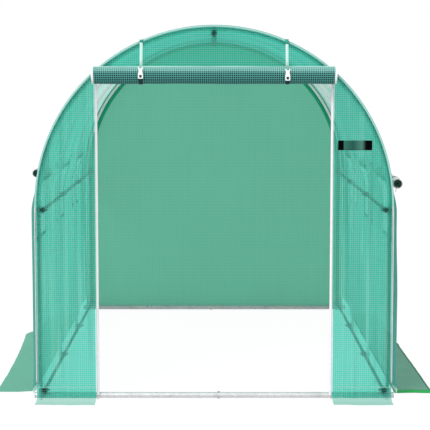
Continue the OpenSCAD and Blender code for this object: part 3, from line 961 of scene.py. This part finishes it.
tie = {"width": 0.014, "thick": 0.0012, "clear": 0.0016, "apart": 0.17, "turn": (-60, 270), "steps": 28,
       "tail": 0.030, "tailOut": 0.3, "kink": 0.4, "sway": 0.006, "sways": (3, 9, 5.5)}
net = {"step": 0.02}
tieMesh = bmesh.new()
for sideName, sign in (("left", -1), ("right", 1)):
    node = sideName + "_window_rolls"
    low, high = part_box(node)
    coverRollR = (high.x - low.x) / 2
    coverRollL = high.y - bayL
    lengths = []
    bm = bmesh.new()
    for i, mid in enumerate(bayMids):
        # the first rolls sit askew at their front ends
        loose = coverRoll["swing"].get((sideName, i), Vector())

        def axisAt(u, mid=mid, loose=loose):
            axis = Vector(((low.x + high.x) / 2, mid + u, (low.z + high.z) / 2))
            return axis + loose * ((coverRollL - u) / (2 * coverRollL)) ** coverRoll["swingCurve"]

        outerR = coverRollR + coverRoll["fuller"].get((sideName, i), 0.0)
        rimL = coverRoll["rimL"].get((sideName, i), rolledCoverLook["outerTurn"])
        startTurn = math.radians(90 + coverRoll["start"] * sign)
        lengths.append(rollFilm(bm, axisAt, -forward, coverRollL, outerR, coverRoll, startTurn, sign,
                                coverRoll["seed"] + i, rimL))
        for u in (-tie["apart"], tie["apart"]):
            centre = axisAt(u)
            outer = outerR + tie["clear"]
            loop = sweep(centre, outer, *tie["turn"], tie["steps"], upward, across * sign)
            layTape(tieMesh, loop, -forward, tie["width"])
            start = centre - upward * outer + across * (sign * tie["tailOut"] * outer)
            overMid, overU, swaySeed = tie["sways"]
            sway = tie["sway"] * ripple(mid * overMid + u * overU, sign, swaySeed)
            tail = [start, start + Vector((sway, sway, -tie["kink"] * tie["tail"])),
                    start + Vector((2 * sway, -sway, -tie["tail"]))]
            layTape(tieMesh, tail, -forward, tie["width"])
    piece = asPiece(sideName + "WindowRolls", bm, rolledCover, "rolled_cover", node)
    piece.data.materials.append(webbing["rimTape"])
    thicken(piece, coverRoll["thick"])
    flatSize = (2 * coverRollL * len(bayMids), sum(lengths) / len(lengths))

    bm = bmesh.new()
    for mid in bayMids:
        def netPlace(s, y, mid=mid):
            point = coverPlace(s, mid + y)
            return Vector((sign * abs(point.x), point.y, point.z))
        layCloth(bm, spread(windowSs, net["step"]), spread([-winL, winL], net["step"]), netPlace)
    piece = asPiece(sideName + "WindowNets", bm, windowNet, "window_net", sideName + "_window_screens")
    windowSs[1] - windowSs[0]
thicken(asPiece("windowTies", tieMesh, webbing["tieClothAndStrapShade"], "tie_webbing", "window_ties"), tie["thick"])
print("window covers, nets and ties made")


# straps that hold the rolled door up, with their buckles
# pairs of lengths are steps back and up, pairs of whole numbers are degrees round the roll
strap = {
    "x": 0.391, "width": 0.0165, "thick": 0.0016, "clear": 0.0012, "overlap": 1.2, "merge": 0.0001,
    "tops": {-1: 1.977, 1: 1.963}, "hang": [(-0.006, 0), (-0.0115, -0.012)], "steps": 24, "topSteps": 4,
    "over": (10, 40), "behind": (165, 370), "below": (80, 165), "lift": {-1: 0.002, 1: -0.008},
    "loopWidth": 0.0175, "loopFoot": (-0.0130, -0.012),
    "loopRim": [(-0.0150, -0.008), (-0.0105, 0.004), (0.006, 0.008), (0.020, 0.002)],
    "tailWidth": 0.016, "tail": [(0.0038, 0.026), (0.0038, 0.004), (0.001, -0.004), (0.005, -0.010)],
}
buckle = {                                # its outline in millimetres, from its foot up
    "marks": [0, 6, 20, 28, 35, 43, 49, 55, 62], "outer": [12.5, 13.5, 13.5, 13, 11.5, 10, 10.5, 12.5, 14],
    "inner": [6, 6.5, 6.5, 5, 4, 4, 4.5, 5.5, 8], "window": (6, 20), "notch": 55, "thick": 0.006,
    "edge": 0.0011, "proud": 0.0045,
}
mm = 0.001
strapMesh, loopMesh, paintedShadeTailMesh, buckleMesh = (bmesh.new() for _ in range(4))
aroundRoll = doorR + strap["clear"]
overRoll = aroundRoll + strap["overlap"] * strap["thick"]
buckleY = doorAxis.y - aroundRoll - buckle["proud"]
buckleHalf = dict(zip(buckle["marks"], zip(buckle["outer"], buckle["inner"])))


def buckleHole(u, v):
    return abs(u) < 1 and (buckle["window"][0] < v < buckle["window"][1] or v > buckle["notch"])


for sign in (-1, 1):
    x = sign * strap["x"]
    topZ = strap["tops"][sign]
    axis = Vector((x, doorAxis.y, doorAxis.z))
    hang = [Vector((x, frontY + y, topZ + z)) for y, z in strap["hang"]]
    onRoll = sweep(axis, overRoll, *strap["over"], strap["topSteps"], upward, -forward)
    drop = onRoll[0] - hang[1]
    hang += [hang[1] + drop * share for share in (0.25, 0.5, 0.75)]
    layTape(strapMesh, hang + onRoll, across, strap["width"])

    # the run down the front of the roll below the buckle goes in the near-black webbing as painted shade
    for webMesh, turn in ((strapMesh, strap["behind"]), (paintedShadeTailMesh, strap["below"])):
        path = sweep(axis, aroundRoll, *turn, strap["steps"], upward, forward)
        layTape(webMesh, path, across, strap["width"])
    rimZ = springZ + math.sqrt((hoopR + tubeR + binding["outer"] - binding["archIn"]) ** 2 - x * x)
    footY, footZ = strap["loopFoot"]
    loop = [(footY, topZ + footZ)] + [(y, rimZ + z) for y, z in strap["loopRim"]]
    layTape(loopMesh, [Vector((x, frontY + y, z)) for y, z in loop], across, strap["loopWidth"])

    bottom = (buckleLow.z + buckleHigh.z) / 2 + strap["lift"][sign] - mm * buckle["marks"][-1] / 2

    def bucklePlace(u, v, x=x, bottom=bottom):
        # u of 2 is the buckle's outline, u of 1 the edge of its window and notch
        half = buckleHalf[v][0 if abs(u) > 1 else 1]
        return Vector((x + math.copysign(half * mm, u), buckleY, bottom + v * mm))

    layCloth(buckleMesh, [-2, -1, 1, 2], buckle["marks"], bucklePlace, buckleHole)
    tail = [Vector((x, buckleY + y, bottom + z)) for y, z in strap["tail"]]
    layTape(paintedShadeTailMesh, tail, across, strap["tailWidth"])
bmesh.ops.remove_doubles(strapMesh, verts=strapMesh.verts, dist=strap["merge"])
thicken(asPiece("doorStraps", strapMesh, webbing["strapCloth"], "webbing", "door_straps"), strap["thick"])
thicken(asPiece("strapLoops", loopMesh, webbing["loopCloth"], "webbing"), strap["thick"])
# the strap's run down the roll below the buckle and its tail are near-black as painted shade
thicken(asPiece("paintedShadeStrapTails", paintedShadeTailMesh, webbing["tieClothAndStrapShade"], "tie_webbing"), strap["thick"])
buckles = asPiece("strapBuckles", buckleMesh, paints["bucklePlastic"], "buckle_plastic", "strap_buckles")
thicken(buckles, buckle["thick"], buckle["edge"])

# plain patch sewn on the right front panel
patch = {"step": 0.008, "proud": 0.0022, "thick": 0.0012}
bm = bmesh.new()
patchXs, patchZs = (spread([patchLow[k], patchHigh[k]], patch["step"]) for k in (0, 2))
layCloth(bm, patchXs, patchZs, lambda x, z: endPoint(x, z, frontY, rightSeed) + forward * patch["proud"])
thicken(asPiece("frontPatch", bm, patchCloth, "patch_film", "front_patch"), patch["thick"])
print("straps, buckles and patch made")


# camera, light and floor
view = {"place": (0.0046, -9.194, 1.8005), "pitch": 84.25, "lens": 118.8, "sensor": 36}
camera = bpy.data.objects.new("camera", bpy.data.cameras.new("camera"))
camera.location = view["place"]
camera.rotation_euler = (math.radians(view["pitch"]), 0, 0)
camera.data.lens = view["lens"]
camera.data.sensor_width = view["sensor"]
scene.collection.objects.link(camera)
scene.camera = camera

light = {"sky": 1.0, "sun": 1.5, "sunAngle": 20, "sunTurn": (math.radians(48), 0, math.radians(-30))}
stage = {"grey": (0.6, 0.6, 0.6), "white": 1.08, "blend": 0.87, "half": 60, "drop": 0.0005}


def seesStage(finish):
    # 1 for camera, glossy and transmission rays
    rays = [finish.node("LightPath", None, None, out=i) for i in (0, 3, 6)]
    return (rays[0] + rays[1] + rays[2]).least(1.0)


world = bpy.data.worlds.new("world")
world.use_nodes = True
scene.world = world
sky = Finish("world", world.node_tree)
backdrop = sky.node("Background", None, {0: (1, 1, 1), 1: light["sky"]})
sky.node("OutputWorld", None, {0: backdrop})

sun = bpy.data.objects.new("sun", bpy.data.lights.new("sun", "SUN"))
sun.data.energy = light["sun"]
sun.data.angle = math.radians(light["sunAngle"])
sun.rotation_euler = light["sunTurn"]
scene.collection.objects.link(sun)

white = Finish("floorWhite")
shade = white.node("BsdfDiffuse", None, {0: stage["grey"]})
plain = white.node("Emission", None, {0: (1, 1, 1), 1: stage["white"]})
floorMaterial = white.done(white.blended(seesStage(white) * stage["blend"], shade, plain))
bm = bmesh.new()
bmesh.ops.create_grid(bm, x_segments=4, y_segments=4, size=stage["half"])
mesh = bpy.data.meshes.new("floor")
bm.to_mesh(mesh)
bm.free()
mesh.materials.append(floorMaterial)
floor = bpy.data.objects.new("floor", mesh)
floor.location.z = -stage["drop"]
scene.collection.objects.link(floor)

scene.view_settings.view_transform = "Standard"
